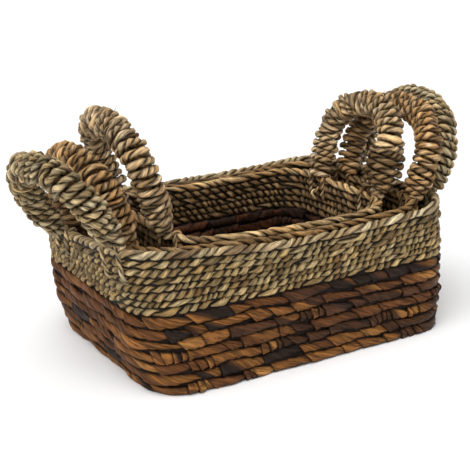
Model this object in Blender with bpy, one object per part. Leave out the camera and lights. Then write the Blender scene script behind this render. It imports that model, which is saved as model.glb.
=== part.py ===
"""Nested set of three oblong bread baskets with hooped rope handles.

Each basket is a coiled and stitched shell: rows of twisted banana-leaf rope below, rows of
two-ply seagrass cord above, a rim cord on top, and a wrapped rope hoop lashed over each end.
Metres, +Z up. The origin is the middle of the largest basket's underside, +X is to the right
along the length, and -Y is the front.
"""
import bpy
import bmesh
from math import cos, sin, pi, radians
from mathutils import Vector

# ---- driving dimensions -------------------------------------------------------------------
GAP = 0.0003                # air left between touching pieces
SEAT_GAP = 0.0005           # air round a floor panel, and under a nested basket's floor
WALL = 0.0080               # thickness of the leaf rows, and diameter of the rim cord
CORD_WALL = 0.0070          # thickness of the seagrass rows
GROOVE = 0.0010             # depth of the valley between two rows
BASE_THICK = 0.0068         # coiled floor panel

HOOP_RADIUS = 0.0143        # outside of the cord wrapped round a handle
CORE_RADIUS = 0.0060        # rope inside the wrapping
HOOP_NECK = 0.0095          # radius of the wrapping at its very end
NECK_START = 0.0020         # distance from the foot's centre to that end
NECK_LENGTH = 0.0080        # and to where the wrapping has its full thickness
LASH_THICK = 0.0024         # cord lashing laid over the rim
LASH_GAP = 0.0004           # air between a lashing and the wall
LASH_DROP = 0.0200          # how far the lashing reaches down the wall
LASH_LENGTH = 0.0240        # how much of the rim it covers
FOOT_GAP = 0.0014           # from the lashing's top to the round end of the core, on a sloping rim
CORE_TIP = 0.25             # flat at the core's round end, as a share of its radius

FRONT_DIP_LEFT = (-0.60, -0.10)     # where the front rim's dip starts, from -1 to 1 along it
FRONT_DIP_RIGHT = (0.80, 0.95)      # and where it ends

CORNER_STEPS = 4
LONG_STEPS = 4
END_STEPS = 3
HOOP_STEPS = 11
HOOP_SIDES = 8
HOOP_SAMPLES = 240
CORE_SIDES = 6
RIM_SAMPLES = 1600
BESIDE = 0.05               # a small step of station, for the direction along a rim


def clear_scene():
    for obj in list(bpy.data.objects):
        bpy.data.objects.remove(obj, do_unlink=True)


def material(name, colour, roughness):
    mat = bpy.data.materials.new(name)
    mat.use_nodes = True
    shader = mat.node_tree.nodes["Principled BSDF"]
    shader.inputs["Base Color"].default_value = (*colour, 1.0)
    shader.inputs["Roughness"].default_value = roughness
    shader.inputs["Metallic"].default_value = 0.0
    return mat


def mix(a, b, t):
    return a + (b - a) * t


def mix_all(a, b, t):
    return tuple(mix(p, q, t) for p, q in zip(a, b))


def ease(x, low, high):
    t = max(0.0, min(1.0, (x - low) / (high - low)))
    return t * t * (3 - 2 * t)


# ---- the basket's wall surface ----------------------------------------------------------
def oblong_point(rect, radii, inset, station):
    """A point on a rounded oblong, at a station that runs from 0 to 8 round it.

    Even intervals are corners and odd ones are straight sides, starting at the back right
    corner and going through the back, left end, front and right end.
    """
    x0, x1, y0, y1 = rect[0] + inset, rect[1] - inset, rect[2] + inset, rect[3] - inset
    radii = [r - inset for r in radii]
    corners = (
        (x1 - radii[0], y1 - radii[0], 0.0),
        (x0 + radii[1], y1 - radii[1], pi / 2),
        (x0 + radii[2], y0 + radii[2], pi),
        (x1 - radii[3], y0 + radii[3], 3 * pi / 2),
    )

    def on_corner(index, part):
        cx, cy, start = corners[index]
        angle = start + part * pi / 2
        return cx + radii[index] * cos(angle), cy + radii[index] * sin(angle)

    station = station % 8
    span, part = int(station), station - int(station)
    index = span // 2
    if span % 2 == 0:
        return on_corner(index, part)
    start = on_corner(index, 1.0)
    end = on_corner((index + 1) % 4, 0.0)
    return mix_all(start, end, part)


class Basket:
    """One basket's shell. Height v is 0 at the floor, 1 at the shoulder and 2 at the rim."""

    def __init__(self, name, floor, shoulder, rim, base_rect, shoulder_rect, rim_rect,
                 radii, rim_radii, sag, left_dip, front_dip, rows):
        self.name = name
        self.floor = floor
        self.shoulder = shoulder
        self.rim = rim
        self.rects = (base_rect, shoulder_rect, rim_rect)
        self.radii = (radii, radii, rim_radii)
        self.sag = sag
        self.left_dip = left_dip
        self.front_dip = front_dip
        self.leaf_rows, self.cord_rows = rows
        self.parent = None

    def rim_top(self, x, y):
        """The rim dips along the middle of each long side, more at the front, and towards
        the back left."""
        x0, x1, y0, y1 = self.rects[2]
        along = max(-1.0, min(1.0, 2 * (x - x0) / (x1 - x0) - 1))
        across = max(0.0, min(1.0, (y - y0) / (y1 - y0)))
        left = max(0.0, -along) ** 3
        front = ease(along, *FRONT_DIP_LEFT) * (1 - ease(along, *FRONT_DIP_RIGHT)) * (1 - across) ** 2
        top = self.rim - self.sag * (1 - along ** 2) - self.front_dip * front
        return top + left * (self.left_dip[0] - self.left_dip[1] * across)

    def point(self, station, v, inset=0.0, rise=0.0):
        if v <= 1:
            t = 1 - (1 - v) ** 2
            low, high = 0, 1
        else:
            t = v - 1
            low, high = 1, 2
        rect = mix_all(self.rects[low], self.rects[high], t)
        radii = mix_all(self.radii[low], self.radii[high], t)
        x, y = oblong_point(rect, radii, inset, station)
        if v <= 1:
            z = mix(self.floor, self.shoulder, v)
        else:
            z = mix(self.shoulder, self.rim_top(x, y), v - 1)
        return Vector((x, y, z + rise))

    def station_near(self, x, y):
        """The station of the rim's middle line that is nearest to a place in plan."""
        stations = [8 * k / RIM_SAMPLES for k in range(RIM_SAMPLES)]
        return min(stations, key=lambda s: (self.point(s, 2, WALL / 2).xy - Vector((x, y))).length)


def wall_stations():
    stations = []
    for span in range(8):
        if span % 2 == 0:
            steps = CORNER_STEPS
        elif span in (1, 5):
            steps = LONG_STEPS
        else:
            steps = END_STEPS
        stations += [span + k / steps for k in range(steps)]
    return stations


def facet_point(basket, station, v, inset, rise):
    """A point on the flat facets that join the wall's stations, not on the true curve."""
    stations = wall_stations() + [8.0]
    station = station % 8
    low = max(s for s in stations if s <= station)
    high = min(s for s in stations if s > station)
    ends = [basket.point(s, v, inset, rise) for s in (low, high)]
    return ends[0].lerp(ends[1], (station - low) / (high - low))


# ---- mesh helpers -------------------------------------------------------------------------
def new_object(name, rings, mat, parent, origin=(0.0, 0.0, 0.0), closed=True, caps=False):
    """Skin a grid of rings. closed joins the last ring to the first, caps fills both ends."""
    origin = Vector(origin)
    bm = bmesh.new()
    grid = [[bm.verts.new(Vector(p) - origin) for p in ring] for ring in rings]
    count = len(grid)
    for i in range(count if closed else count - 1):
        a, b = grid[i], grid[(i + 1) % count]
        for j in range(len(a)):
            k = (j + 1) % len(a)
            bm.faces.new((a[j], a[k], b[k], b[j]))
    if caps:
        bm.faces.new(list(reversed(grid[0])))
        bm.faces.new(grid[-1])
    bmesh.ops.recalc_face_normals(bm, faces=bm.faces)
    mesh = bpy.data.meshes.new(name)
    bm.to_mesh(mesh)
    bm.free()
    mesh.materials.append(mat)
    mesh.shade_smooth()
    mesh.set_sharp_from_angle(angle=radians(40))
    obj = bpy.data.objects.new(name, mesh)
    bpy.context.scene.collection.objects.link(obj)
    place(obj, parent, origin)
    return obj


def place(obj, parent, origin):
    """Parent an object to an empty and put its origin at a place in the world."""
    if parent is not None:
        obj.parent = parent
        origin = Vector(origin) - world_origin(parent)
    obj.location = origin


def world_origin(obj):
    spot = Vector(obj.location)
    while obj.parent is not None:
        obj = obj.parent
        spot += Vector(obj.location)
    return spot


def empty(name, origin, parent=None):
    obj = bpy.data.objects.new(name, None)
    bpy.context.scene.collection.objects.link(obj)
    place(obj, parent, origin)
    return obj


# ---- the shell's pieces -------------------------------------------------------------------
def ring_solid(name, basket, profile, mat):
    """Carry a closed profile of (v, inset, rise) once round the basket."""
    rings = [[basket.point(s, *spot) for spot in profile] for s in wall_stations()]
    return new_object(name, rings, mat, basket.parent)


def row_profile(first, last, rows, outer, inner, rise):
    """The outside of a stack of rows bulges at each row; the inside is plain.

    rise gives the small lift or drop of a height v, which keeps the stack off its neighbours.
    """
    spots = []
    for k in range(rows):
        spots.append((mix(first, last, k / rows), outer + GROOVE))
        spots.append((mix(first, last, (k + 0.5) / rows), outer))
    spots.append((last, outer + GROOVE))
    spots += [(mix(first, last, t), inner) for t in (1.0, 0.6, 0.3, 0.1, 0.0)]
    return [(v, inset, rise(v)) for v, inset in spots]


def leaf_wall(basket, mat):
    profile = row_profile(0.0, 1.0, basket.leaf_rows, 0.0, WALL, lambda v: -v * GAP / 2)
    return ring_solid(basket.name + "_leaf_wall", basket, profile, mat)


def under_rim(v):
    """The drop that packs the seagrass rows between the shoulder and the rim cord."""
    return mix(GAP / 2, -WALL - GAP, v - 1)


def seagrass_wall(basket, mat):
    outer = (WALL - CORD_WALL) / 2
    profile = row_profile(1.0, 2.0, basket.cord_rows, outer, WALL - outer, under_rim)
    return ring_solid(basket.name + "_seagrass_wall", basket, profile, mat)


def rim_cord(basket, mat):
    radius = WALL / 2
    profile = []
    for k in range(8):
        angle = 2 * pi * (k + 0.5) / 8
        spread = radius / cos(pi / 8)
        profile.append((2.0, radius - spread * cos(angle), spread * sin(angle) - radius))
    return ring_solid(basket.name + "_rim_cord", basket, profile, mat)


def base_panel(basket, mat):
    """A flat coiled floor held inside the first leaf row."""
    inset = WALL + SEAT_GAP
    lift = BASE_THICK / (basket.shoulder - basket.floor)
    rings = [[basket.point(s, v, inset) for s in wall_stations()] for v in (0.0, lift)]
    return new_object(basket.name + "_base_panel", rings, mat, basket.parent, closed=False, caps=True)


# ---- the handles --------------------------------------------------------------------------
class Hoop:
    """A rope hoop that stands on the rim at one end of a basket.

    Its middle line is an arch of half width spread and length height, leaning outwards,
    which bellies out by bulge above its feet; tilt lets its foot line follow a sloping rim.
    """

    def __init__(self, side, x, y, z, spread, height, lean, yaw, bulge, tilt, fullness):
        self.side = side
        self.centre = Vector((x, y, z))
        self.spread, self.height = spread, height
        self.bulge, self.fullness = bulge, fullness
        sign = 1 if side == "right" else -1
        yaw = radians(yaw)
        outward = Vector((cos(yaw), -sin(yaw), 0.0)) * sign
        self.across = Vector((sin(yaw), cos(yaw), tilt))
        self.upward = Vector((0, 0, 1)) * cos(radians(lean)) + outward * sin(radians(lean))
        self.normal = self.across.cross(self.upward).normalized()

    def at(self, angle):
        side = self.spread * cos(angle) * (1 + self.bulge * sin(angle))
        up = self.height * max(sin(angle), 0.0) ** self.fullness
        return self.centre + self.across * side + self.upward * up

    def line(self, basket):
        """The part of the arch that is clear of the lashings: its ends are the feet."""
        clear = FOOT_GAP + LASH_THICK + CORE_RADIUS
        points = [self.at(pi * k / HOOP_SAMPLES) for k in range(HOOP_SAMPLES + 1)]
        return [p for p in points if p.z > basket.rim_top(p.x, p.y) + clear]


def along(points, distance):
    for a, b in zip(points, points[1:]):
        step = (b - a).length
        if distance <= step:
            return a + (b - a) * (distance / step), (b - a).normalized()
        distance -= step
    return points[-1], (points[-1] - points[-2]).normalized()


def sweep(points, normal, spots, sides):
    """Rings of the given (distance, radius) pairs round a curved line."""
    rings = []
    for distance, radius in spots:
        centre, tangent = along(points, distance)
        out = tangent.cross(normal).normalized()
        up = out.cross(tangent).normalized()
        angles = [2 * pi * (k + 0.5) / sides for k in range(sides)]
        rings.append([centre + (out * cos(a) + up * sin(a)) * radius for a in angles])
    return rings


def handle(basket, hoop, wrap_mat, core_mat, lash_mat):
    prefix = basket.name + "_" + hoop.side + "_handle"
    points = hoop.line(basket)
    length = sum((b - a).length for a, b in zip(points, points[1:]))
    feet = points[0], points[-1]
    pivot = (feet[0] + feet[1]) / 2

    middle = [mix(NECK_LENGTH, length - NECK_LENGTH, k / HOOP_STEPS) for k in range(HOOP_STEPS + 1)]
    outside = [(NECK_START, HOOP_NECK)] + [(d, HOOP_RADIUS) for d in middle]
    outside.append((length - NECK_START, HOOP_NECK))
    inside = [(d, CORE_RADIUS + 2 * GAP) for d, _ in reversed(outside)]
    wrap = sweep(points, hoop.normal, outside + inside, HOOP_SIDES)
    new_object(prefix + "_wrap", wrap, wrap_mat, basket.parent, origin=pivot)

    reach = 2 * CORE_RADIUS
    shoulder = CORE_RADIUS * sin(pi / 4)
    round_end = [(-CORE_RADIUS, CORE_TIP * CORE_RADIUS), (-shoulder, shoulder)]
    body = round_end + [(d, CORE_RADIUS) for d in [0.0] + middle + [length]]
    body += [(length - d, r) for d, r in reversed(round_end)]
    spots = [(d + reach, r) for d, r in body]
    core = sweep(extend(points, reach), hoop.normal, spots, CORE_SIDES)
    new_object(prefix + "_core", core, core_mat, basket.parent, origin=pivot, closed=False, caps=True)

    for foot, where in ((feet[0], "back"), (feet[1], "front")):
        lashing(basket, prefix + "_" + where + "_lashing", foot, lash_mat)
    return feet


def extend(points, reach):
    """Run a line on straight past both of its ends."""
    start = points[0] + (points[0] - points[1]).normalized() * reach
    end = points[-1] + (points[-1] - points[-2]).normalized() * reach
    return [start] + points + [end]


def lashing(basket, name, foot, mat):
    """Cord turns over the rim under a foot: a saddle on the wall, with a knot where the
    foot stands outside the rim."""
    station = basket.station_near(foot.x, foot.y)
    ahead = (basket.point(station + BESIDE, 2) - basket.point(station - BESIDE, 2)).length
    half = BESIDE * LASH_LENGTH / ahead
    near, far = -LASH_GAP, WALL + LASH_GAP
    drop = WALL + GAP
    band = basket.rim_top(foot.x, foot.y) - basket.shoulder
    v_low = 2 - (LASH_DROP - drop) / (band - drop)
    low_rise = under_rim(v_low)
    top = LASH_GAP + LASH_THICK
    rim_line = basket.point(station, 2, WALL / 2)
    outward = (basket.point(station, 2) - rim_line).normalized()
    overhang = (foot - rim_line).dot(outward)
    knot = max(LASH_THICK, overhang + CORE_RADIUS - WALL / 2)
    outside = ((v_low, near - LASH_THICK, low_rise), (2, near - knot, -drop), (2, near - knot, top))
    over = ((2, far, top),)
    inside = ((2, far + LASH_THICK, 0), (2, far + LASH_THICK, -drop), (v_low, far + LASH_THICK, low_rise))
    back = ((v_low, far, low_rise), (2, far, -drop), (2, far, LASH_GAP), (2, near, LASH_GAP), (2, near, -drop))
    profile = outside + over + inside + back + ((v_low, near, low_rise),)
    low, high = station - half, station + half
    turns = [s + 8 * lap for lap in (-1, 0, 1) for s in wall_stations()]
    stops = [low] + [s for s in turns if low + 0.01 < s < high - 0.01] + [high]
    rings = [[facet_point(basket, s, *spot) for spot in profile] for s in stops]
    new_object(name, rings, mat, basket.parent, closed=False, caps=True)


# ---- the three baskets --------------------------------------------------------------------
def make_basket(basket, hoops, mats):
    base_panel(basket, mats["leaf"])
    leaf_wall(basket, mats["leaf"])
    seagrass_wall(basket, mats["seagrass"])
    rim_cord(basket, mats["seagrass"])
    for hoop in hoops:
        handle(basket, hoop, mats["wrap"], mats["core"], mats["wrap"])


def materials(tag, seagrass, wrap, leaf):
    return {
        "leaf": material(tag + "_banana_leaf", leaf, 0.55),
        "seagrass": material(tag + "_seagrass", seagrass, 0.75),
        "wrap": material(tag + "_wrapped_cord", wrap, 0.75),
        "core": material(tag + "_rope_core", (0.36, 0.27, 0.17), 0.85),
    }


def build():
    clear_scene()
    step = BASE_THICK + SEAT_GAP

    outer = Basket(
        "outer", 0.0, 0.080, 0.141,
        (-0.162, 0.177, -0.121, 0.121), (-0.180, 0.180, -0.120, 0.120), (-0.194, 0.172, -0.120, 0.122),
        (0.040, 0.045, 0.040, 0.040), (0.040, 0.085, 0.040, 0.036), 0.008, (0.006, 0.028), 0.004, (7, 7))
    outer.parent = empty("outer_basket", (0.0, 0.0, 0.0))

    middle = Basket(
        "middle", step, 0.088, 0.139,
        (-0.140, 0.148, -0.105, 0.105), (-0.152, 0.151, -0.106, 0.106), (-0.169, 0.148, -0.106, 0.107),
        (0.032, 0.040, 0.036, 0.030), (0.032, 0.060, 0.040, 0.028), 0.006, (0.0, 0.012), 0.003, (2, 1))
    middle.parent = empty("middle_basket", (0.0, 0.0, step), outer.parent)

    inner = Basket(
        "inner", 2 * step, 0.091, 0.138,
        (-0.108, 0.118, -0.091, 0.091), (-0.116, 0.121, -0.0925, 0.0925), (-0.124, 0.120, -0.0925, 0.0925),
        (0.034, 0.036, 0.036, 0.034), (0.036, 0.040, 0.040, 0.036), 0.004, (0.0, 0.0), 0.002, (2, 1))
    inner.parent = empty("inner_basket", (0.0, 0.0, 2 * step), middle.parent)

    make_basket(outer, (
        Hoop("left", -0.192, -0.036, 0.138, 0.051, 0.086, 33.5, -5, 0.30, -0.17, 0.80),
        Hoop("right", 0.1715, -0.019, 0.140, 0.0640, 0.0875, 23.5, 0, 0.12, 0.03, 0.84),
    ), materials("outer", (0.56, 0.50, 0.38), (0.60, 0.54, 0.42), (0.30, 0.17, 0.09)))
    make_basket(middle, (
        Hoop("left", -0.1665, -0.009, 0.131, 0.0520, 0.080, 19.5, -3, 0.20, -0.10, 0.84),
        Hoop("right", 0.1445, -0.031, 0.139, 0.0550, 0.0855, 21.0, 0, 0.40, 0.0, 0.88),
    ), materials("middle", (0.48, 0.38, 0.24), (0.46, 0.35, 0.22), (0.28, 0.16, 0.09)))
    make_basket(inner, (
        Hoop("left", -0.1205, -0.006, 0.136, 0.0540, 0.101, 19.0, 4, 0.60, 0.02, 0.68),
        Hoop("right", 0.1157, -0.013, 0.1385, 0.0450, 0.0872, 18.5, -4, 0.42, -0.04, 0.77),
    ), materials("inner", (0.46, 0.36, 0.22), (0.50, 0.41, 0.29), (0.26, 0.13, 0.08)))


build()
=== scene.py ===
"""The looks of a nested set of three bread baskets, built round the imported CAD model.

Every rope is made as it is twisted and coiled: leaf-wrapped ropes in the lower rows and the
floors, two-ply seagrass cord in the upper rows and rims, and hoops wound closely with cord.
Metres, +Z up, in the CAD model's own frame.
"""

from math import cos, sin, pi, radians

import bpy
import numpy as np
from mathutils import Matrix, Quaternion, Vector


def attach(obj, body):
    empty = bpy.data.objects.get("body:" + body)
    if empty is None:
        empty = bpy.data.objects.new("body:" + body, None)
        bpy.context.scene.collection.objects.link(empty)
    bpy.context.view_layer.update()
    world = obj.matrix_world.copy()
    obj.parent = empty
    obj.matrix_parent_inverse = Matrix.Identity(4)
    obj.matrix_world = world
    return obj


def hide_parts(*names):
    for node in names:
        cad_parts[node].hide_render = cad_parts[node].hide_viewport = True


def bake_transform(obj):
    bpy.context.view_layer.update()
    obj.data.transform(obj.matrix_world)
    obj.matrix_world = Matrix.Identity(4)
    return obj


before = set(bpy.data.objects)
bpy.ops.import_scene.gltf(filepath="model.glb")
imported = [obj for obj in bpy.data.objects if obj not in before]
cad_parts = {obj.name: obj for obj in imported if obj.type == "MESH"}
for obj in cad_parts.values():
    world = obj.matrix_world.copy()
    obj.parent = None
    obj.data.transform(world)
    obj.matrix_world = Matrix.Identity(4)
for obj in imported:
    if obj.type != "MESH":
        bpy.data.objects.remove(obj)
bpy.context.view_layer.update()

# ---- sizes of the CAD model that the ropes follow ---------------------------------------
WALL = 0.0080               # thickness of the leaf rows, and room for the rim cord
GAP = 0.0003
BASE_THICK = 0.0068
FOOT_CLEARANCE = 0.0098     # from the rim's top to the middle of a hoop where it ends
HOOP_RADIUS = 0.0143
FRONT_DIP_LEFT = (-0.60, -0.10)     # where the front rim's dip starts, from -1 to 1 along it
FRONT_DIP_RIGHT = (0.80, 0.95)      # and where it ends

# ---- sizes of the ropes ------------------------------------------------------------------
STRAND_STEP = 0.0014        # distance between the rings of a ply
STRAND_SIDES = 10
LEAF_STEP = 0.0015
LEAF_SIDES = 24
FILLER_STEP = 0.005
FILLER_SIDES = 8
COURSE_STATIONS = 3200      # points on one row's line
TANGENT_STEP = 0.0006       # how far before and after a place a line's direction is read
COIL_PITCH = 0.0112         # about how wide a rope of the coiled floor is
LIP = 0.00030               # half the length of the step from strip to strip
STRIP_LENGTH = (0.016, 0.056)
SHORT_TURN = (0.005, 0.010)     # length of the short turns that now and then bind a leaf rope
SHORT_TURN_SHARE = 0.12
LAST_STRIP = (0.018, 0.030)
LAP = (0.0006, 0.0021)      # how far a strip's start stands out over the strip before
PUFF = 0.0008               # most that a strip swells at its middle, or is squashed
CURL = 0.0005               # how far a strip's first edge curls out
CRINKLE = 0.00044
WANDER = 0.0006             # how far a leaf rope strays in and out
POINTED_SHARE = 0.24        # share of strips that end in a point
SEAM_WANDER = {"leaf": 0.0011, "seagrass": 0.0006}      # how far the line between rows strays
ROW_TWIST = 0.0215          # length of one full turn of a two-ply cord in the rows
RIM_TWIST = {"outer": 0.026, "middle": 0.034, "inner": 0.034}
PLY_HALF_DEPTH, PLY_HALF_WIDTH = 0.268, 0.325       # for each unit of the cord's thickness
PLY_SIZE = (0.80, 1.15)
PLY_OFFSET = (0.195, 0.245)     # from the cord's middle line to the ply's
WRAP_CORD = 0.0080          # cord wound round a hoop
WRAP_TWIST = {"outer": 0.0165, "middle": 0.0215, "inner": 0.0205}
WRAP_PITCH = 0.0079         # distance from turn to turn along the hoop
WRAP_SAMPLES = 48           # points on one turn
OVERWRAP_RISE = 0.0052      # from the first winding's middle line to the second's
OVERWRAP_END = 0.006        # how far short of the hoop's end the second winding stops
DRAWN_IN = (0.45, 0.024)    # a winding's flatness at its end, and the length over which it fills out
CORE_ROPE, CORE_TWIST = 0.0140, 0.05
LASHING_CORD, LASHING_TWIST = 0.0046, 0.018
LASHING_OFFSET = 0.0105     # from the middle of a foot to the turn either side of it
LASHING_PROUD = 0.0004
HOOP_FOOT = 0.013           # how far a hoop's winding runs on down past the CAD model's
HAIR_LENGTH = (0.003, 0.007)
HAIR_RADIUS = (0.00022, 0.00042)
BAKE_MARGIN = 0.004         # clear border of a chart on the unit square


# ---- numbers ---------------------------------------------------------------------------------
def mix(a, b, t):
    return a + (b - a) * t


def mix_all(a, b, t):
    return tuple(mix(p, q, t) for p, q in zip(a, b))


def ease(x, low, high):
    t = np.clip((x - low) / (high - low), 0.0, 1.0)
    return t * t * (3 - 2 * t)


def unit(v):
    return v / np.linalg.norm(v, axis=-1, keepdims=True)


def wave(rng, place, length, grain, parts=6):
    """A smooth random wave of about -1 to 1 that closes on itself over a length."""
    top = max(2, round(length / grain))
    total = np.zeros_like(place)
    for _ in range(parts):
        count = rng.integers(max(1, top // 3), top + 1)
        total += np.sin(2 * pi * count * place / length + rng.uniform(0, 2 * pi))
    return total / np.sqrt(parts)


class Ripple:
    """A smooth random wave once round a basket, read at any share of the way round."""

    def __init__(self, rng, size, bumps):
        self.way = np.linspace(0, 1, 721)
        self.value = size * wave(rng, self.way, 1.0, 1.0 / bumps)

    def at(self, share):
        return np.interp(np.mod(share, 1.0), self.way, self.value)


def linear(r, g, b):
    """An sRGB colour, 0 to 255, as linear light."""
    return np.array([(c / 255 / 12.92) if c < 10 else ((c / 255 + 0.055) / 1.055) ** 2.4 for c in (r, g, b)])


# ---- lines that ropes follow -------------------------------------------------------------
class Line:
    """A curve at even steps, with an outward and an upward direction at each point."""

    def __init__(self, points, out, closed):
        self.closed = closed
        ends = np.vstack([points, points[:1]]) if closed else points
        steps = np.linalg.norm(np.diff(ends, axis=0), axis=1)
        self.place = np.concatenate([[0], np.cumsum(steps)])
        self.length = self.place[-1]
        self.points = ends
        self.out = np.vstack([out, out[:1]]) if closed else out

    def at(self, place):
        """Points and directions at any distances along the line."""
        if self.closed:
            place = np.mod(place, self.length)
        points = self.read(self.points, place)
        before = self.read(self.points, self.wrap(place - TANGENT_STEP))
        after = self.read(self.points, self.wrap(place + TANGENT_STEP))
        ahead = unit(after - before)
        out = self.read(self.out, place)
        out = unit(out - ahead * np.sum(out * ahead, axis=-1, keepdims=True))
        return points, out, np.cross(out, ahead)

    def wrap(self, place):
        return np.mod(place, self.length) if self.closed else np.clip(place, 0, self.length)

    def read(self, values, place):
        return np.stack([np.interp(place, self.place, values[:, k]) for k in range(3)], axis=-1)

    def stops(self, step):
        count = max(4, round(self.length / step))
        if self.closed:
            return np.arange(count) * self.length / count
        return np.linspace(0, self.length, count + 1)


def oblong(rect, radii, inset, stations):
    """Points on a rounded oblong. Stations run from 0 to 8: corner, side, corner and so on,
    from the back right corner through the back, the left end, the front and the right end."""
    x0, x1, y0, y1 = rect[0] + inset, rect[1] - inset, rect[2] + inset, rect[3] - inset
    small = [max(r - inset, 0.0015) for r in radii]
    middles = (
        (x1 - small[0], y1 - small[0]),
        (x0 + small[1], y1 - small[1]),
        (x0 + small[2], y0 + small[2]),
        (x1 - small[3], y0 + small[3]),
    )

    def corner(index, part):
        angle = (index + part) * pi / 2
        cx, cy = middles[index]
        return np.stack([cx + small[index] * np.cos(angle), cy + small[index] * np.sin(angle)], axis=-1)

    stations = np.mod(stations, 8)
    flat = np.zeros((len(stations), 2))
    for span in range(8):
        here = (stations >= span) & (stations < span + 1)
        part = stations[here] - span
        index = span // 2
        if span % 2 == 0:
            flat[here] = corner(index, part)
        else:
            start, end = corner(index, np.array(1.0)), corner((index + 1) % 4, np.array(0.0))
            flat[here] = start + (end - start) * part[:, None]
    return flat


class Basket:
    """One basket's shell. Height v is 0 at the floor, 1 at the shoulder and 2 at the rim."""

    def __init__(self, name, floor, shoulder, rim, rects, radii, rim_radii, sag, left_dip, front_dip):
        self.name = name
        self.body = name + "_basket"
        self.floor, self.shoulder, self.rim = floor, shoulder, rim
        self.rects = rects
        self.radii = (radii, radii, rim_radii)
        self.sag, self.left_dip, self.front_dip = sag, left_dip, front_dip

    def rim_top(self, x, y):
        """The rim dips along the middle of each long side, more at the front, and towards
        the back left."""
        x0, x1, y0, y1 = self.rects[2]
        along = np.clip(2 * (x - x0) / (x1 - x0) - 1, -1, 1)
        across = np.clip((y - y0) / (y1 - y0), 0, 1)
        left = np.maximum(0.0, -along) ** 3
        front = ease(along, *FRONT_DIP_LEFT) * (1 - ease(along, *FRONT_DIP_RIGHT)) * (1 - across) ** 2
        top = self.rim - self.sag * (1 - along ** 2) - self.front_dip * front
        return top + left * (self.left_dip[0] - self.left_dip[1] * across)

    def points(self, stations, v, inset=0.0, rise=0.0):
        if v <= 1:
            t, low, high = 1 - (1 - v) ** 2, 0, 1
        else:
            t, low, high = v - 1, 1, 2
        rect = mix_all(self.rects[low], self.rects[high], t)
        radii = mix_all(self.radii[low], self.radii[high], t)
        flat = oblong(rect, radii, inset, stations)
        if v <= 1:
            z = np.full(len(stations), mix(self.floor, self.shoulder, v))
        else:
            z = mix(self.shoulder, self.rim_top(flat[:, 0], flat[:, 1]), v - 1)
        return np.column_stack([flat, z + rise])

    def course(self, v, inset, rise=0.0):
        """The line of one row, with the wall's outward direction."""
        stations = np.linspace(0, 8, COURSE_STATIONS, endpoint=False)
        points = self.points(stations, v, inset, rise)
        ahead = np.roll(points, -1, axis=0) - np.roll(points, 1, axis=0)
        above, below = min(v + 0.05, 2.0), max(v - 0.05, 0.0)
        tilt = self.points(stations, above, inset) - self.points(stations, below, inset)
        return Line(points, unit(np.cross(ahead, tilt)), closed=True)

    def station_near(self, x, y):
        stations = np.linspace(0, 8, 1600, endpoint=False)
        flat = self.points(stations, 2, WALL / 2)[:, :2]
        return stations[np.argmin(np.hypot(flat[:, 0] - x, flat[:, 1] - y))]


def under_rim(v):
    """The drop that packs the seagrass rows between the shoulder and the rim cord."""
    return mix(GAP / 2, -WALL - GAP, v - 1)


class Hoop:
    """A rope hoop that stands on the rim at one end of a basket, as in the CAD model."""

    def __init__(self, side, x, y, z, spread, height, lean, yaw, bulge, tilt, fullness, overwrap=0.0):
        self.side, self.overwrap = side, overwrap
        self.centre = np.array([x, y, z])
        self.spread, self.height = spread, height
        self.bulge, self.fullness = bulge, fullness
        sign = 1 if side == "right" else -1
        yaw = radians(yaw)
        self.outward = np.array([cos(yaw), -sin(yaw), 0.0]) * sign
        self.across = np.array([sin(yaw), cos(yaw), tilt])
        self.upward = np.array([0.0, 0.0, cos(radians(lean))]) + self.outward * sin(radians(lean))
        self.normal = unit(np.cross(self.across, self.upward))

    def arch(self, basket):
        """The hoop's middle line from the back foot to the front one."""
        angle = np.linspace(0, pi, 241)
        side = self.spread * np.cos(angle) * (1 + self.bulge * np.sin(angle))
        up = self.height * np.maximum(np.sin(angle), 0.0) ** self.fullness
        points = self.centre + side[:, None] * self.across + up[:, None] * self.upward
        clear = basket.rim_top(points[:, 0], points[:, 1]) + FOOT_CLEARANCE
        return points[points[:, 2] > clear]


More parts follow.
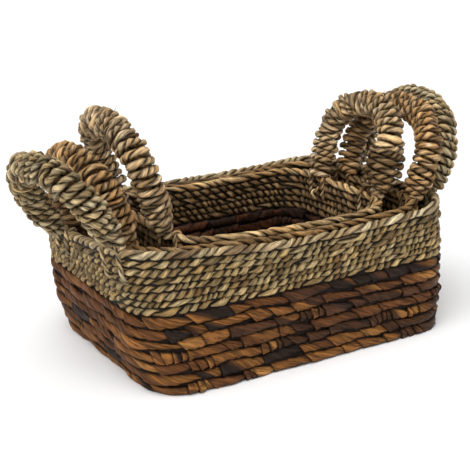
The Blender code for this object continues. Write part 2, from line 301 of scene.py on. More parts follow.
# ---- skinning ---------------------------------------------------------------------------------
class Skin:
    """One piece's surface, gathered from swept tubes, with its colours and its fibre places.

    A fibre place is (distance along the rope, and two distances across it), so that grain
    runs along the rope wherever it goes.
    """

    def __init__(self):
        self.points, self.tints, self.fibres = [], [], []
        self.faces, self.sizes, self.charts = [], [], []
        self.count = 0

    def tube(self, rings, tints, fibres, closed):
        n, m = rings.shape[:2]
        index = np.arange(n * m).reshape(n, m) + self.count
        first = index if closed else index[:-1]
        second = np.roll(index, -1, axis=0) if closed else index[1:]
        quads = np.stack([first, np.roll(first, -1, axis=1), np.roll(second, -1, axis=1), second], axis=-1)
        rows = len(first)
        middle = rings.mean(axis=1)
        a, b, c = rings[:-1], np.roll(rings[:-1], -1, axis=1), rings[1:]
        facing = np.sum(np.cross(b - a, c - a) * (a - middle[:-1, None]))
        if facing < 0:
            quads = quads[..., ::-1]
        self.points.append(rings.reshape(-1, 3))
        self.tints.append(tints.reshape(-1, 3))
        self.fibres.append(fibres.reshape(-1, 3))
        self.faces.append(quads.reshape(-1))
        self.sizes.append(np.full(rows * m, 4))
        length = np.linalg.norm(middle[1] - middle[0]) * rows
        girth = np.linalg.norm(rings[0] - np.roll(rings[0], 1, axis=0), axis=1).sum()
        self.charts.append((rows, m, max(length, 1e-4), max(girth, 1e-4), facing < 0))
        if not closed:
            for ring, outward in ((index[0], facing > 0), (index[-1], facing < 0)):
                self.faces.append(ring[::-1] if outward else ring)
                self.sizes.append(np.array([m]))
                self.charts.append((0, m, 0.0, 0.0, False))
        self.count += n * m

    def charts_on_square(self):
        """Corner places for a texture: each tube lies in level lines across the unit square."""
        scale = 40.0
        while self.lines_high(scale) > 1 - BAKE_MARGIN:
            scale *= 0.97
        corners, top = [], BAKE_MARGIN
        usable = 1 - 2 * BAKE_MARGIN
        for rows, m, length, girth, flipped in self.charts:
            if rows == 0:
                corners.append(np.full((m, 2), BAKE_MARGIN / 2))
                continue
            step = length * scale / rows
            per_line = max(1, int(usable / step))
            number = np.arange(rows)
            line = number // per_line
            u0 = BAKE_MARGIN + (number - line * per_line) * step
            high = girth * scale
            v0 = top + line[:, None] * (high + BAKE_MARGIN) + np.arange(m) * high / m
            u0 = np.repeat(u0[:, None], m, axis=1)
            u1, v1 = u0 + step, v0 + high / m
            square = [(u0, v0), (u0, v1), (u1, v1), (u1, v0)]
            if flipped:
                square = square[::-1]
            corners.append(np.stack([np.stack(c, axis=-1) for c in square], axis=2).reshape(-1, 2))
            top += (line[-1] + 1) * (high + BAKE_MARGIN)
        return np.concatenate(corners)

    def lines_high(self, scale):
        total = BAKE_MARGIN
        for rows, _, length, girth, _ in self.charts:
            if rows:
                per_line = max(1, int((1 - 2 * BAKE_MARGIN) / (length * scale / rows)))
                total += -(-rows // per_line) * (girth * scale + BAKE_MARGIN)
        return total

    def piece(self, name, mat, slot, replaces, low=None):
        points = np.concatenate(self.points)
        if low is not None:
            points[:, 2] = np.maximum(points[:, 2], low)
        faces, sizes = np.concatenate(self.faces), np.concatenate(self.sizes)
        mesh = bpy.data.meshes.new(name)
        mesh.vertices.add(len(points))
        mesh.vertices.foreach_set("co", points.astype(np.float32).ravel())
        mesh.loops.add(len(faces))
        mesh.loops.foreach_set("vertex_index", faces.astype(np.int32))
        mesh.polygons.add(len(sizes))
        mesh.polygons.foreach_set("loop_start", np.concatenate([[0], np.cumsum(sizes)[:-1]]).astype(np.int32))
        mesh.polygons.foreach_set("use_smooth", np.ones(len(sizes), bool))
        mesh.update(calc_edges=True)
        tints = np.concatenate(self.tints)
        colour = mesh.attributes.new("tint", "FLOAT_COLOR", "POINT")
        rgba = np.column_stack([tints, np.ones(len(tints))])
        colour.data.foreach_set("color", rgba.astype(np.float32).ravel())
        fibre = mesh.attributes.new("fibre", "FLOAT_VECTOR", "POINT")
        fibre.data.foreach_set("vector", np.concatenate(self.fibres).astype(np.float32).ravel())
        chart = mesh.uv_layers.new(name="OFBake")
        chart.data.foreach_set("uv", self.charts_on_square().astype(np.float32).ravel())
        mesh.materials.append(mat)
        obj = bpy.data.objects.new(name, mesh)
        bpy.context.scene.collection.objects.link(obj)
        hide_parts(replaces)
        return obj


# ---- ropes ------------------------------------------------------------------------------------
def by_lump(values, number):
    """Values read lump by lump. Each holds while its ply faces out, and changes behind."""
    low = np.floor(number).astype(int)
    t = ease(number - low, 0.25, 0.75)
    t = t.reshape(-1, *[1] * (values.ndim - 1))
    return mix(values[low % len(values)], values[(low + 1) % len(values)], t)


def lump_tints(rng, count, palette):
    """A colour for each lump of a ply, between pale, dull and dark grass."""
    pale, dull, dark = palette
    pick, old = rng.uniform(0, 1, count), rng.uniform(0, 1, count) ** 3
    tint = mix(np.outer(1 - pick, dull) + np.outer(pick, pale), dark[None, :], 0.80 * old[:, None])
    hue = 1 + rng.uniform(-1, 1, (count, 1)) * WARMER
    return tint * hue * rng.uniform(0.80, 1.20, count)[:, None]


def twisted_cord(skin, line, diameter, twist, rng, palette, handed=1, groove_shade=0.45, uneven=0.45, plump=0.14):
    """Two plies laid round each other along a line. groove is painted shade on the sides that meet
    the next rows, uneven is how much the twist speeds up and slows down, and plump is how far a
    ply swells where it faces out."""
    place = line.stops(STRAND_STEP)
    points, out, up = line.at(place)
    turns = line.length / twist
    if line.closed:
        turns = max(1, round(turns))
    phase = handed * (2 * pi * turns * place / line.length + uneven * wave(rng, place, line.length, 0.045))
    phase += rng.uniform(0, 2 * pi)
    if callable(diameter):
        diameter = diameter(place / line.length)
    swell = diameter * (1 + 0.05 * wave(rng, place, line.length, 0.03))
    side = np.linspace(0, 2 * pi, STRAND_SIDES, endpoint=False)
    count = max(2, int(np.ceil(turns)))
    for ply in (0, 1):
        angle = phase + ply * pi
        number = angle / (2 * pi)
        radial = np.cos(angle)[:, None] * out + np.sin(angle)[:, None] * up
        tangential = -np.sin(angle)[:, None] * out + np.cos(angle)[:, None] * up
        own = swell * (1 + 0.06 * wave(rng, place, line.length, 0.008)) * (1 + plump * np.cos(2 * angle))
        own = own * by_lump(rng.uniform(*PLY_SIZE, count), number)
        proud = by_lump(rng.uniform(*PLY_OFFSET, count), number)
        across = np.cos(side)[None, :] * (PLY_HALF_DEPTH * own)[:, None]
        along = np.sin(side)[None, :] * (PLY_HALF_WIDTH * own)[:, None]
        reach = (proud * swell)[:, None] + across
        rough = 1 + 0.065 * rng.normal(0, 1, (len(place), 1))
        along, reach = along * rough, reach * (1 + 0.02 * rng.normal(0, 1, reach.shape))
        rings = points[:, None] + reach[..., None] * radial[:, None] + along[..., None] * tangential[:, None]
        tint = by_lump(lump_tints(rng, count, palette), number)
        # Painted shade on the side of each ply that faces the other ply, a painted highlight on the ply's
        # outward face (partly also bleached wear), and painted shade on the sides that meet the next rows.
        crease_shade = 0.20 + 0.80 * ease(np.cos(side), -0.75, 0.30)
        highlight_and_wear = 1 + 0.20 * ease(np.cos(side), 0.4, 1.0)
        height = np.abs(np.sum((rings - points[:, None]) * up[:, None], axis=-1)) / swell[:, None]
        shade = (crease_shade * highlight_and_wear)[None, :] * (1 - groove_shade * ease(height, 0.22, 0.48))
        tints = tint[:, None] * shade[..., None]
        shift = rng.uniform(0, 40)
        size = 0.3 * np.mean(swell)
        fibres = np.stack([
            np.repeat((place + shift)[:, None], STRAND_SIDES, axis=1),
            np.repeat((np.cos(side) * size)[None, :], len(place), axis=0),
            np.repeat((np.sin(side) * size)[None, :], len(place), axis=0)], axis=-1)
        skin.tube(rings, tints, fibres, line.closed)


def shade_filler(skin, line, half_depth, half_height, tint):
    """A dark tube of painted shade inside a wall, seen only in the gaps between ropes."""
    points, out, up = line.at(line.stops(FILLER_STEP))
    side = np.linspace(0, 2 * pi, FILLER_SIDES, endpoint=False)
    rings = points[:, None] + half_depth * np.cos(side)[None, :, None] * out[:, None]
    rings = rings + half_height * np.sin(side)[None, :, None] * up[:, None]
    skin.tube(rings, np.broadcast_to(tint, rings.shape), rings, line.closed)


def stray_fibres(skin, line, radius, count, rng, tint):
    """Hairs of grass that have sprung loose from a cord."""
    for _ in range(count):
        spot, out, up = (v[0] for v in line.at(np.array([rng.uniform(0.02, 0.98) * line.length])))
        ahead = np.cross(up, out)
        lean, bend = rng.normal(0, 1, 3), rng.normal(0, 1, 3)
        aim = unit(out * rng.uniform(0.5, 1.2) + 0.5 * lean[0] * up + 0.8 * lean[1] * ahead)
        length = rng.uniform(*HAIR_LENGTH)
        t = np.linspace(0, 1, 6)[:, None]
        points = spot + out * radius + length * (t * aim + 0.22 * t ** 2 * unit(bend))
        hair = Line(points, np.tile(unit(np.cross(aim, bend)), (6, 1)), closed=False)
        middles, side_a, side_b = hair.at(hair.stops(length / 5))
        thick = rng.uniform(*HAIR_RADIUS) * np.linspace(1, 0.35, len(middles))
        corner = np.linspace(0, 2 * pi, 5, endpoint=False)
        rings = middles[:, None] + thick[:, None, None] * (
            np.cos(corner)[None, :, None] * side_a[:, None] + np.sin(corner)[None, :, None] * side_b[:, None])
        skin.tube(rings, np.broadcast_to(tint * rng.uniform(0.7, 1.3), rings.shape), rings, False)


def strip_edges(rng, length):
    """Where the leaf strips of a rope start: long ones, and now and then a few short turns."""
    edges = [0.0]
    while edges[-1] < length - 0.040:
        if rng.uniform() < SHORT_TURN_SHARE:
            for _ in range(rng.integers(2, 5)):
                edges.append(edges[-1] + rng.uniform(*SHORT_TURN))
        edges.append(edges[-1] + rng.uniform(*STRIP_LENGTH))
    edges = np.array(edges) * length / (edges[-1] + rng.uniform(*LAST_STRIP))
    return np.append(edges, length)


def strip_shades(rng, count, palette):
    """Colours of a rope's strips. One leaf often gives several strips that follow each other."""
    weights = np.array([w for _, w in palette])
    picks = [rng.choice(len(palette), p=weights / weights.sum())]
    while len(picks) < count:
        again = rng.uniform() < 0.58
        picks.append(picks[-1] if again else rng.choice(len(palette), p=weights / weights.sum()))
    return np.array([palette[k][0] for k in picks])


def crinkle(rng, place, side, length, parts=12):
    """Creases that slant down a rope's face: a random height of about -1 to 1."""
    total = 0
    for _ in range(parts):
        count = rng.integers(round(length / 0.060), round(length / 0.012))
        turns = rng.integers(2, 7)
        phase = 2 * pi * count * place[:, None] / length + turns * side[None, :]
        total = total + np.sin(phase + rng.uniform(0, 7))
    return total / np.sqrt(parts)


def leaf_rope(skin, line, half_depth, half_height, rng, palette, spiral, lift=None):
    """A rope wrapped in strips of dried leaf, each strip's start lapped over the last one's end.

    half_height and lift, if they are functions, follow the share of the way round. spiral is
    how fast the veins turn round the rope, in radians a metre.
    """
    edges = strip_edges(rng, line.length)
    count = len(edges) - 1
    side = np.linspace(0, 2 * pi, LEAF_SIDES, endpoint=False)
    round_x = np.sign(np.cos(side)) * np.abs(np.cos(side)) ** 0.80
    round_y = np.sign(np.sin(side)) * np.abs(np.sin(side)) ** 0.86
    ring_place, ring_part, ring_strip = [], [], []
    for k in range(count):
        low, high = edges[k] + LIP, edges[k + 1] - LIP
        steps = max(4, round((high - low) / LEAF_STEP))
        part = np.linspace(0, 1, steps + 1)
        ring_place.append(mix(low, high, part))
        ring_part.append(part)
        ring_strip.append(np.full(steps + 1, k))
    place, part, strip = (np.concatenate(x) for x in (ring_place, ring_part, ring_strip))
    share = place / line.length
    half = half_height(share) if callable(half_height) else np.full(len(place), half_height)
    raised = lift(share) if lift is not None else np.zeros(len(place))
    typical = float(np.mean(half))

    longest = np.diff(edges)
    shear = -typical * rng.uniform(0.2, 1.5, count) * np.clip(longest / STRIP_LENGTH[0], 0.35, 1.0)
    shear = np.append(shear, shear[0])
    lean = mix(shear[strip], shear[strip + 1], part)
    lap = rng.uniform(*LAP, count)[strip] * (1 - part) ** 0.7
    puff = rng.uniform(0.0, PUFF, count)[strip] * np.sin(pi * part)
    curl = CURL * (1 - ease(part, 0.0, 0.10))
    fold = rng.uniform(0, 2 * pi, count)[strip]
    squash = rng.uniform(0.0, PUFF, count)[strip]
    tuck = (lap + puff + curl)[:, None] + squash[:, None] * np.cos(2 * side[None, :] + fold[:, None])
    tuck = tuck + CRINKLE * crinkle(rng, place, side, line.length)
    start, end = rng.uniform(0.88, 1.10, (2, count)), rng.uniform(0.64, 1.04, (2, count))
    pointed = rng.uniform(0, 1, (2, count)) < POINTED_SHARE
    end = np.where(pointed & (longest > 0.014), rng.uniform(0.10, 0.45, (2, count)), end)
    top, foot = (mix(start[row][strip], end[row][strip], part ** 1.6) for row in (0, 1))
    ragged = 1 + 0.09 * wave(rng, place, line.length, 0.006)
    taper = np.where(round_y[None, :] > 0, (top * ragged)[:, None], (foot * ragged)[:, None])
    x = round_x[None, :] * (half_depth + tuck)
    y = round_y[None, :] * (half[:, None] * taper + 0.5 * tuck) + raised[:, None]
    x += WANDER * wave(rng, place, line.length, 0.04)[:, None]
    spots = place[:, None] + lean[:, None] * np.sin(side)[None, :]
    points, out, up = line.at(spots)
    rings = points + x[..., None] * out + y[..., None] * up

    first, other = strip_shades(rng, count, palette), strip_shades(rng, count, palette)
    turn = rng.uniform(0.25, 1.6, count)[strip]
    blend = ease(part[:, None] + 0.22 * np.sin(side)[None, :], turn[:, None] - 0.16, turn[:, None] + 0.16)
    tints = mix(first[strip][:, None], other[strip][:, None], blend[..., None])
    light = rng.uniform(0.80, 1.22, count)[strip]
    # Painted shade at a strip's end, where the next strip laps over it; a painted highlight on a strip's
    # raised first edge; painted shade along the rope's top and bottom, where it meets the next rows.
    left = (1 - part) * longest[strip]
    under = 1 - 0.92 * (1 - ease(left, 0.0003, 0.0020))
    highlight_and_wear = 1 + 0.35 * (1 - ease(part * longest[strip], 0.0, 0.0018))
    groove_shade = 0.06 + 0.94 * ease(1 - np.abs(round_y), 0.02, 0.35)
    tints = tints * (light * under * highlight_and_wear)[:, None, None] * groove_shade[None, :, None]
    swirl = side[None, :] + spiral * place[:, None]
    shift = rng.uniform(0, 40, count)[strip]
    fibres = np.stack([
        np.repeat((place + shift)[:, None], LEAF_SIDES, axis=1),
        np.cos(swirl) * typical,
        np.sin(swirl) * typical], axis=-1)
    skin.tube(rings, tints, fibres, line.closed)


# ---- materials ----------------------------------------------------------------------------
def set_range(node, low, high, to_low, to_high):
    names = ("From Min", "From Max", "To Min", "To Max")
    for socket, number in zip(names, (low, high, to_low, to_high)):
        node.inputs[socket].default_value = number


class Nodes:
    """Short hands for building a material's node tree."""

    def __init__(self, name):
        self.material = bpy.data.materials.new(name)
        self.material.use_nodes = True
        self.tree = self.material.node_tree
        self.shader = self.tree.nodes["Principled BSDF"]

    def link(self, start, end):
        self.tree.links.new(start, end)

    def attribute(self, name, output):
        node = self.tree.nodes.new("ShaderNodeAttribute")
        node.attribute_name = name
        return node.outputs[output]

    def noise(self, place, scale, detail=3.0, roughness=0.55):
        """Noise over a place, with a scale for each axis, per metre."""
        node = self.tree.nodes.new("ShaderNodeMapping")
        node.inputs["Scale"].default_value = scale
        self.link(place, node.inputs["Vector"])
        noise = self.tree.nodes.new("ShaderNodeTexNoise")
        noise.inputs["Scale"].default_value = 1.0
        noise.inputs["Detail"].default_value = detail
        noise.inputs["Roughness"].default_value = roughness
        self.link(node.outputs["Vector"], noise.inputs["Vector"])
        return noise.outputs["Fac"]

    def ramp(self, value, low, high, to_low, to_high):
        node = self.tree.nodes.new("ShaderNodeMapRange")
        set_range(node, low, high, to_low, to_high)
        self.link(value, node.inputs["Value"])
        return node.outputs["Result"]

    def maths(self, operation, a, b):
        node = self.tree.nodes.new("ShaderNodeMath")
        node.operation = operation
        for socket, value in zip(node.inputs, (a, b)):
            if isinstance(value, (int, float)):
                socket.default_value = value
            else:
                self.link(value, socket)
        return node.outputs["Value"]

    def brightness(self, name):
        """An attribute's lightness, from 0 in shadow to 1 on a pale strand."""
        node = self.tree.nodes.new("ShaderNodeRGBToBW")
        self.link(self.attribute(name, "Color"), node.inputs["Color"])
        return self.ramp(node.outputs["Val"], 0.04, 0.25, 0.0, 1.0)

    def scaled(self, colour, value):
        node = self.tree.nodes.new("ShaderNodeVectorMath")
        node.operation = "SCALE"
        self.link(colour, node.inputs["Vector"])
        self.link(value, node.inputs["Scale"])
        return node.outputs["Vector"]

    def toned(self, colour, other, factor):
        node = self.tree.nodes.new("ShaderNodeMix")
        node.data_type = "RGBA"
        self.link(factor, node.inputs["Factor"])
        self.link(colour, node.inputs[6])
        node.inputs[7].default_value = (*other, 1)
        return node.outputs[2]

    def bump(self, height, strength, distance, under=None):
        node = self.tree.nodes.new("ShaderNodeBump")
        node.inputs["Strength"].default_value = strength
        node.inputs["Distance"].default_value = distance
        self.link(height, node.inputs["Height"])
        if under is not None:
            self.link(under, node.inputs["Normal"])
        return node.outputs["Normal"]


def seagrass_material(name, fleck, bleached):
    """Twisted dry grass: fine lines along each ply, brown flecks, bleached spots and a slight gloss."""
    n = Nodes(name)
    place = n.attribute("fibre", "Vector")
    lines = n.noise(place, (110, 1500, 1500), 4.0, 0.65)
    blades = n.noise(place, (70, 640, 640), 2.0)
    blots = n.noise(place, (190, 420, 420), 3.0)
    spots = n.noise(place, (150, 520, 520), 2.0)
    light = n.maths("MULTIPLY", n.ramp(lines, 0.32, 0.68, 0.60, 1.36), n.ramp(blades, 0.36, 0.64, 0.52, 1.36))
    colour = n.scaled(n.attribute("tint", "Color"), light)
    colour = n.toned(colour, fleck, n.ramp(blots, 0.55, 0.70, 0.0, 0.65))
    lit = n.brightness("tint")
    colour = n.toned(colour, bleached, n.maths("MULTIPLY", n.ramp(spots, 0.58, 0.72, 0.0, 0.60), lit))
    n.link(colour, n.shader.inputs["Base Color"])
    n.link(n.ramp(lines, 0.3, 0.7, 0.58, 0.36), n.shader.inputs["Roughness"])
    n.shader.inputs["Specular IOR Level"].default_value = 0.20
    fine = n.bump(lines, 1.0, 0.0007)
    n.link(n.bump(blades, 1.0, 0.0018, fine), n.shader.inputs["Normal"])
    return n.material


def leaf_material(name, fleck):
    """Dried banana leaf: fine veins along the strip, dark blotches and pin marks, a dull sheen."""
    n = Nodes(name)
    place = n.attribute("fibre", "Vector")
    veins = n.noise(place, (40, 1300, 1300), 4.0, 0.6)
    folds = n.noise(place, (26, 330, 330), 3.0)
    blots = n.noise(place, (75, 130, 130), 4.0, 0.6)
    pins = n.noise(place, (700, 900, 900), 2.0, 0.5)
    cracks = n.noise(place, (110, 620, 620), 3.0, 0.6)
    light = n.maths("MULTIPLY", n.ramp(veins, 0.32, 0.68, 0.60, 1.34), n.ramp(folds, 0.34, 0.66, 0.48, 1.36))
    colour = n.scaled(n.attribute("tint", "Color"), light)
    colour = n.toned(colour, fleck, n.ramp(blots, 0.52, 0.68, 0.0, 0.72))
    colour = n.toned(colour, fleck, n.ramp(pins, 0.66, 0.76, 0.0, 0.60))
    colour = n.toned(colour, fleck, n.ramp(cracks, 0.57, 0.64, 0.0, 0.70))
    n.link(colour, n.shader.inputs["Base Color"])
    n.link(n.ramp(blots, 0.35, 0.7, 0.46, 0.66), n.shader.inputs["Roughness"])
    n.shader.inputs["Specular IOR Level"].default_value = 0.14
    fine = n.bump(veins, 0.9, 0.0007)
    n.link(n.bump(folds, 1.0, 0.0024, fine), n.shader.inputs["Normal"])
    return n.material


# ---- the baskets -------------------------------------------------------------------------------
LEAF_PALETTES = {
    "outer": ((linear(174, 120, 62), 0.17), (linear(136, 88, 42), 0.31), (linear(108, 66, 33), 0.27),
              (linear(76, 47, 27), 0.17), (linear(44, 31, 24), 0.08)),
    "middle": ((linear(120, 82, 46), 0.28), (linear(98, 65, 38), 0.34), (linear(68, 46, 30), 0.22),
               (linear(38, 28, 24), 0.16)),
    "inner": ((linear(106, 62, 38), 0.34), (linear(80, 47, 29), 0.36), (linear(50, 32, 22), 0.30)),
}
CORD_PALETTES = {
    "outer": (linear(184, 158, 110), linear(136, 111, 68), linear(84, 60, 32)),
    "middle": (linear(156, 122, 78), linear(116, 86, 50), linear(70, 48, 28)),
    "inner": (linear(160, 128, 86), linear(118, 89, 55), linear(72, 51, 30)),
}
# Rim cords: the middle rim's colours are darker, partly painted shade where it lies behind the outer rim, and
# the inner rim's are paler, partly painted light on its lit top; the rest is the cords' own tone.
RIM_PALETTES = {
    "outer": (linear(206, 184, 142), linear(164, 138, 98), linear(112, 84, 54)),
    "middle": (linear(166, 130, 84), linear(124, 92, 54), linear(76, 54, 32)),
    "inner": (linear(232, 194, 138), linear(180, 140, 90), linear(98, 70, 42)),
}
WRAP_PALETTES = {
    "outer": (linear(206, 184, 142), linear(164, 140, 98), linear(108, 85, 54)),
    "middle": (linear(212, 170, 116), linear(168, 127, 78), linear(98, 68, 40)),
    "inner": (linear(222, 190, 144), linear(176, 144, 101), linear(98, 74, 48)),
}
GAP_SHADE = linear(26, 18, 12)   # painted shade: a dark tube inside a wall, seen between its ropes
WARMER = np.array([[0.07, 0.0, -0.10]])
HANDED = {"outer": 1, "middle": -1, "inner": -1}
SEEDS = {"outer": 11, "middle": 23, "inner": 37}


def leaf_rows(basket, rows, mat, low):
    """Rows of leaf rope. The line between two rows wanders up and down."""
    skin = Skin()
    rng = np.random.default_rng(SEEDS[basket.name])
    half = (basket.shoulder - basket.floor) / rows / 2
    stray = SEAM_WANDER["leaf"]
    seams = [Ripple(rng, stray * (0.3 if k in (0, rows) else 1), 18) for k in range(rows + 1)]
    for k in range(rows):
        line = basket.course((k + 0.5) / rows, WALL / 2)
        under, over = seams[k], seams[k + 1]
        leaf_rope(skin, line, 0.46 * WALL, lambda share: 0.94 * half + (over.at(share) - under.at(share)) / 2,
                  rng, LEAF_PALETTES[basket.name], rng.uniform(60, 220),
                  lambda share: (over.at(share) + under.at(share)) / 2)
        # dark tubes of painted shade between this row and the next
        for v in ((k + 0.5) / rows, (k + 1) / rows):
            shade_filler(skin, basket.course(v, WALL / 2), 0.24 * WALL, 0.85 * half, GAP_SHADE)
    tag = basket.name
    piece = skin.piece(tag + "_leaf_rows", mat, tag + "_leaf", tag + "_leaf_wall", low)
    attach(piece, basket.body)


def seagrass_rows(basket, rows, mat):
    """Rows of two-ply cord. Some are thicker than others, and the lines between them wander."""
    skin = Skin()
    rng = np.random.default_rng(SEEDS[basket.name] + 1)
    palette = CORD_PALETTES[basket.name]
    pitch = (basket.rim - basket.sag / 2 - basket.shoulder - WALL) / rows
    stray = SEAM_WANDER["seagrass"]
    seams = [Ripple(rng, stray * (0.2 if k in (0, rows) else 1), 14) for k in range(rows + 1)]
    for k in range(rows):
        v = 1 + (k + 0.5) / rows
        line = basket.course(v, WALL / 2, under_rim(v))
        under, over = seams[k], seams[k + 1]
        share = line.place / line.length
        line.points = line.points + np.outer((under.at(share) + over.at(share)) / 2, (0, 0, 1))
        stray_fibres(skin, line, 0.4 * pitch, 5, rng, palette[2])
        twisted_cord(skin, line, lambda way: 1.13 * (pitch + over.at(way) - under.at(way)),
                     ROW_TWIST * rng.uniform(0.72, 1.25), rng, palette,
                     HANDED[basket.name], groove_shade=0.62, uneven=1.3, plump=0.28)
        above = 1 + (k + 1) / rows
        # a dark tube of painted shade in the gap above this row
        shade_filler(skin, basket.course(above, WALL / 2, under_rim(above)), 0.20 * WALL, 0.50 * pitch, GAP_SHADE)
    tag = basket.name
    piece = skin.piece(tag + "_seagrass_rows", mat, tag + "_seagrass", tag + "_seagrass_wall")
    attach(piece, basket.body)


def rim_rope(basket, mat):
    skin = Skin()
    rng = np.random.default_rng(SEEDS[basket.name] + 2)
    line = basket.course(2, WALL / 2, -WALL / 2)
    twisted_cord(skin, line, 1.06 * WALL, RIM_TWIST[basket.name], rng, RIM_PALETTES[basket.name],
                 HANDED[basket.name], groove_shade=0.0, uneven=1.1, plump=0.08)
    stray_fibres(skin, line, 0.4 * WALL, 9, rng, CORD_PALETTES[basket.name][2])
    tag = basket.name
    piece = skin.piece(tag + "_rim_rope", mat, tag + "_seagrass", tag + "_rim_cord")
    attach(piece, basket.body)


def floor_coil(basket, mat, low):
    """The floor's rings of leaf rope, from the wall to the middle."""
    skin = Skin()
    rng = np.random.default_rng(SEEDS[basket.name] + 3)
    lift = BASE_THICK / 2 / (basket.shoulder - basket.floor)
    reach = (basket.rects[0][3] - basket.rects[0][2]) / 2 - WALL - GAP
    rings = round(reach / COIL_PITCH)
    half = reach / rings / 2
    for k in range(rings):
        line = basket.course(lift, WALL + GAP + (2 * k + 1) * half)
        line.out = np.tile([0.0, 0.0, 1.0], (len(line.out), 1))
        leaf_rope(skin, line, BASE_THICK / 2 - 0.0004, 1.03 * half, rng, LEAF_PALETTES[basket.name], 120)
    tag = basket.name
    piece = skin.piece(tag + "_floor_coil", mat, tag + "_leaf", tag + "_base_panel", low)
    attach(piece, basket.body)


def hoop_line(basket, hoop, extra):
    """The arch, run on down past its feet, and pointing out of the hoop's own plane."""
    points = hoop.arch(basket)
    for end, step in ((0, 1), (-1, -2)):
        away = unit(points[end] - points[step])
        run = np.arange(1, 9)[:, None] / 8 * extra * away + points[end]
        points = np.vstack([run[::-1], points]) if end == 0 else np.vstack([points, run])
    return Line(points, np.tile(hoop.normal, (len(points), 1)), closed=False)


def wound(line, start, end, radius, rng):
    """The line of a cord wound closely round a hoop, drawn in where it meets the rim."""
    turns = (end - start) / WRAP_PITCH
    part = np.linspace(0, 1, int(turns * WRAP_SAMPLES))
    place = mix(start, end, part)
    points, normal, sideways = line.at(place)
    reach = end - start
    angle = 2 * pi * turns * part + 0.45 * wave(rng, place - start, reach, 0.03)
    near = np.minimum(place, line.length - place)
    flat, fills_out = DRAWN_IN
    narrow = flat + (1 - flat) * ease(near, 0.0, fills_out)
    size = 1 + 0.035 * wave(rng, place - start, reach, 0.02) + 0.03 * wave(rng, place - start, reach, 0.008)
    radial = (np.cos(angle) * narrow)[:, None] * normal + np.sin(angle)[:, None] * sideways
    return Line(points + radius * size[:, None] * radial, unit(radial), closed=False)


def handle(basket, hoop, mats, hinged):
    rng = np.random.default_rng(SEEDS[basket.name] + (5 if hoop.side == "left" else 6))
    prefix = basket.name + "_" + hoop.side + "_handle"
    line = hoop_line(basket, hoop, HOOP_FOOT)
    bind = HOOP_RADIUS - WRAP_CORD / 2
    skin = Skin()
    spans = [(0.0, line.length, bind, WRAP_PALETTES[basket.name])]
    if hoop.overwrap:
        # The second winding takes the darker cord colours: partly its own browner cord, partly painted shade.
        spans.append((line.length - hoop.overwrap, line.length - OVERWRAP_END, bind + OVERWRAP_RISE,
                      CORD_PALETTES[basket.name]))
    for start, end, radius, palette in spans:
        turns = wound(line, start, end, radius, rng)
        twisted_cord(skin, turns, WRAP_CORD, WRAP_TWIST[basket.name], rng, palette,
                     -HANDED[basket.name], groove_shade=0.66, uneven=2.0, plump=0.26)
        stray_fibres(skin, turns, 0.4 * WRAP_CORD, 11, rng, palette[2])
    wrap = skin.piece(prefix + "_cord", mats["wrap"], basket.name + "_wrap", prefix + "_wrap")
    skin = Skin()
    twisted_cord(skin, line, CORE_ROPE, CORE_TWIST, rng, CORD_PALETTES["middle"], 1, groove_shade=0.0)
    core = skin.piece(prefix + "_rope", mats["core"], basket.name + "_core", prefix + "_core")
    feet = hoop.arch(basket)[[0, -1]]
    for piece in (wrap, core):
        if hinged:
            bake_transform(piece)
        else:
            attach(piece, basket.body)
    for foot, where in ((feet[0], "back"), (feet[1], "front")):
        lashing(basket, prefix + "_" + where + "_lashing", foot, mats, rng)


def lashing(basket, name, foot, mats, rng):
    """Cord turns over the rim and through the rows below, either side of a foot. In the inner
    basket the cord's end hangs loose inside."""
    skin = Skin()
    palette = RIM_PALETTES[basket.name]
    station = basket.station_near(foot[0], foot[1])
    nearby = basket.points(np.array([station - 0.05, station + 0.05]), 2)
    per_metre = 0.1 / np.linalg.norm(nearby[1] - nearby[0])
    proud = LASHING_PROUD
    for offset in (-LASHING_OFFSET, LASHING_OFFSET):
        s = np.array([station + offset * per_metre])
        path = []
        for v, inset, rise in ((1.62, -proud, 0), (1.85, -proud, 0), (2.0, -proud, -0.004),
                               (2.0, 0.0, proud), (2.0, WALL, proud), (2.0, WALL + proud, -0.004),
                               (1.85, WALL + proud, 0), (1.62, WALL + proud, 0), (1.58, WALL / 2, 0)):
            drop = under_rim(v) if v < 2 else 0
            path.append(basket.points(s, v, inset, rise + drop)[0])
        points = smooth_loop(np.array(path))
        loop = Line(points, unit(points - points.mean(axis=0)), closed=True)
        twisted_cord(skin, loop, LASHING_CORD, LASHING_TWIST, rng, palette, HANDED[basket.name], groove_shade=0.0)
    if basket.name == "inner":
        s = np.array([station + rng.uniform(-0.006, 0.006) * per_metre])
        path = [basket.points(s, v, inset)[0] for v, inset in
                ((1.72, WALL - 0.002), (1.69, WALL + 0.004), (1.58, WALL + 0.0055), (1.40, WALL + 0.004))]
        points = open_curve(np.array(path) + rng.uniform(-0.0015, 0.0015, (4, 3)))
        out = np.tile(unit(basket.points(s, 1.7, 0.0)[0] - basket.points(s, 1.7, 0.01)[0]), (len(points), 1))
        tail = Line(points, out, closed=False)
        twisted_cord(skin, tail, lambda way: LASHING_CORD * (1 - 0.35 * way), LASHING_TWIST, rng, palette,
                     groove_shade=0.0)
    piece = skin.piece(name + "_cord", mats["wrap"], basket.name + "_wrap", name)
    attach(piece, basket.body)


def open_curve(points, steps=8):
    """A Catmull-Rom curve through some points, from the first to the last."""
    ends = np.vstack([2 * points[0] - points[1], points, 2 * points[-1] - points[-2]])
    made = [spline(ends[k:k + 4], t) for k in range(len(points) - 1) for t in np.arange(steps) / steps]
    return np.array(made + [points[-1]])


def spline(near, t):
    """A point of the Catmull-Rom curve between the middle two of four points."""
    a, b, c, d = near
    square, cube = 2 * a - 5 * b + 4 * c - d, 3 * b - a - 3 * c + d
    return 0.5 * (2 * b + (c - a) * t + square * t ** 2 + cube * t ** 3)


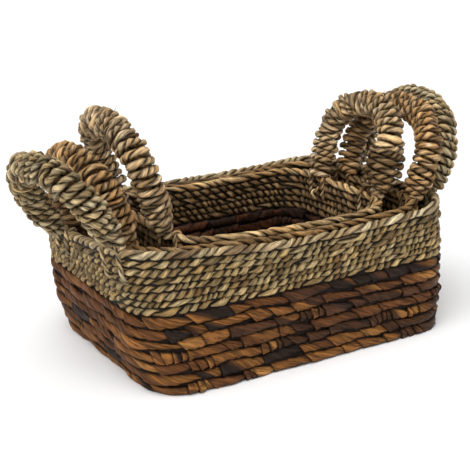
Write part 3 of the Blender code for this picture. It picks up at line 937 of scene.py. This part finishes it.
def smooth_loop(points, steps=12):
    """A closed Catmull-Rom curve through some points."""
    count = len(points)
    near = [[points[(k + j - 1) % count] for j in range(4)] for k in range(count)]
    return np.array([spline(four, t) for four in near for t in np.arange(steps) / steps])


# ---- the stage ---------------------------------------------------------------------------------
CAMERA_TURN, CAMERA_RISE, CAMERA_ROLL = -31.576, 19.392, -0.155     # degrees
CAMERA_AIM, CAMERA_AWAY = (0.0034, 0.0126, 0.060), 1.1169
CAMERA_LENS, CAMERA_SHIFT = 81.5, (-0.0166, 0.0645)
FLOOR_SIZE = 60.0
SUN_POWER, SUN_SPREAD, SUN_DIRECTION = 3.25, 60, (0.42, 0.30, -1.0)


def make_camera():
    data = bpy.data.cameras.new("camera")
    data.sensor_width = 36.0
    data.lens = CAMERA_LENS
    data.shift_x, data.shift_y = CAMERA_SHIFT
    camera = bpy.data.objects.new("camera", data)
    bpy.context.scene.collection.objects.link(camera)
    azimuth, elevation, roll = radians(CAMERA_TURN), radians(CAMERA_RISE), radians(CAMERA_ROLL)
    back = Vector((sin(azimuth) * cos(elevation), -cos(azimuth) * cos(elevation), sin(elevation)))
    camera.location = Vector(CAMERA_AIM) + back * CAMERA_AWAY
    camera.rotation_mode = "QUATERNION"
    camera.rotation_quaternion = (-back).to_track_quat("-Z", "Y") @ Quaternion((0, 0, 1), roll)
    data.clip_start, data.clip_end = 0.05, 20.0
    bpy.context.scene.camera = camera


def make_floor():
    bpy.ops.mesh.primitive_plane_add(size=FLOOR_SIZE, location=(0, 0, 0))
    floor = bpy.context.object
    floor.name = "studio_floor"
    mat = bpy.data.materials.new("studio_white")
    mat.use_nodes = True
    shader = mat.node_tree.nodes["Principled BSDF"]
    shader.inputs["Base Color"].default_value = (0.92, 0.92, 0.92, 1)
    shader.inputs["Roughness"].default_value = 0.9
    shader.inputs["Specular IOR Level"].default_value = 0.1
    floor.data.materials.append(mat)


def make_light():
    """A pale room, brightest low down all round, with a broad soft light overhead."""
    scene = bpy.context.scene
    world = bpy.data.worlds.new("studio")
    world.use_nodes = True
    nodes, links = world.node_tree.nodes, world.node_tree.links
    background = nodes["Background"]
    background.inputs["Color"].default_value = (1.0, 1.0, 1.0, 1)
    direction, parts, fade = (nodes.new(kind) for kind in (
        "ShaderNodeTexCoord", "ShaderNodeSeparateXYZ", "ShaderNodeMapRange"))
    set_range(fade, 0.21, 0.29, 1.0, 0.32)
    links.new(direction.outputs["Generated"], parts.inputs["Vector"])
    links.new(parts.outputs["Z"], fade.inputs["Value"])
    links.new(fade.outputs["Result"], background.inputs["Strength"])
    scene.world = world
    data = bpy.data.lights.new("overhead", "SUN")
    data.energy = SUN_POWER
    data.angle = radians(SUN_SPREAD)
    light = bpy.data.objects.new("overhead", data)
    scene.collection.objects.link(light)
    light.rotation_mode = "QUATERNION"
    light.rotation_quaternion = Vector(SUN_DIRECTION).to_track_quat("-Z", "Y")
    scene.view_settings.view_transform = "Standard"


# ---- build -----------------------------------------------------------------------------------
def build():
    step = BASE_THICK + GAP + 0.0002
    outer = Basket(
        "outer", 0.0, 0.080, 0.141,
        ((-0.162, 0.177, -0.121, 0.121), (-0.180, 0.180, -0.120, 0.120), (-0.194, 0.172, -0.120, 0.122)),
        (0.040, 0.045, 0.040, 0.040), (0.040, 0.085, 0.040, 0.036), 0.008, (0.006, 0.028), 0.004)
    middle = Basket(
        "middle", step, 0.088, 0.139,
        ((-0.140, 0.148, -0.105, 0.105), (-0.152, 0.151, -0.106, 0.106), (-0.169, 0.148, -0.106, 0.107)),
        (0.032, 0.040, 0.036, 0.030), (0.032, 0.060, 0.040, 0.028), 0.006, (0.0, 0.012), 0.003)
    inner = Basket(
        "inner", 2 * step, 0.091, 0.138,
        ((-0.108, 0.118, -0.091, 0.091), (-0.116, 0.121, -0.0925, 0.0925), (-0.124, 0.120, -0.0925, 0.0925)),
        (0.034, 0.036, 0.036, 0.034), (0.036, 0.040, 0.040, 0.036), 0.004, (0.0, 0.0), 0.002)
    hoops = {
        "outer": (Hoop("left", -0.192, -0.036, 0.138, 0.051, 0.086, 33.5, -5, 0.30, -0.17, 0.80),
                  Hoop("right", 0.1715, -0.019, 0.140, 0.0640, 0.0875, 23.5, 0, 0.12, 0.03, 0.84)),
        "middle": (Hoop("left", -0.1665, -0.009, 0.131, 0.0520, 0.080, 19.5, -3, 0.20, -0.10, 0.84),
                   Hoop("right", 0.1445, -0.031, 0.139, 0.0550, 0.0855, 21.0, 0, 0.40, 0.0, 0.88)),
        "inner": (Hoop("left", -0.1205, -0.006, 0.136, 0.0540, 0.101, 19.0, 4, 0.60, 0.02, 0.68),
                  Hoop("right", 0.1157, -0.013, 0.1385, 0.0450, 0.0872, 18.5, -4, 0.42, -0.04, 0.77,
                       overwrap=0.050)),
    }
    for basket, leaf_count, cord_count in ((outer, 7, 7), (middle, 7, 6), (inner, 7, 5)):
        tag = basket.name
        mats = {
            "leaf": leaf_material(tag + "_banana_leaf", linear(40, 28, 21)),
            "seagrass": seagrass_material(tag + "_seagrass", linear(84, 62, 36), linear(226, 210, 172)),
            "wrap": seagrass_material(tag + "_wrapped_cord", linear(88, 66, 40), linear(236, 220, 188)),
            "core": seagrass_material(tag + "_rope_core", linear(70, 54, 34), linear(150, 128, 90)),
        }
        floor_coil(basket, mats["leaf"], basket.floor)
        leaf_rows(basket, leaf_count, mats["leaf"], basket.floor)
        seagrass_rows(basket, cord_count, mats["seagrass"])
        rim_rope(basket, mats["seagrass"])
        for hoop in hoops[tag]:
            handle(basket, hoop, mats, hinged=tag != "middle")


make_camera()
make_floor()
make_light()
build()
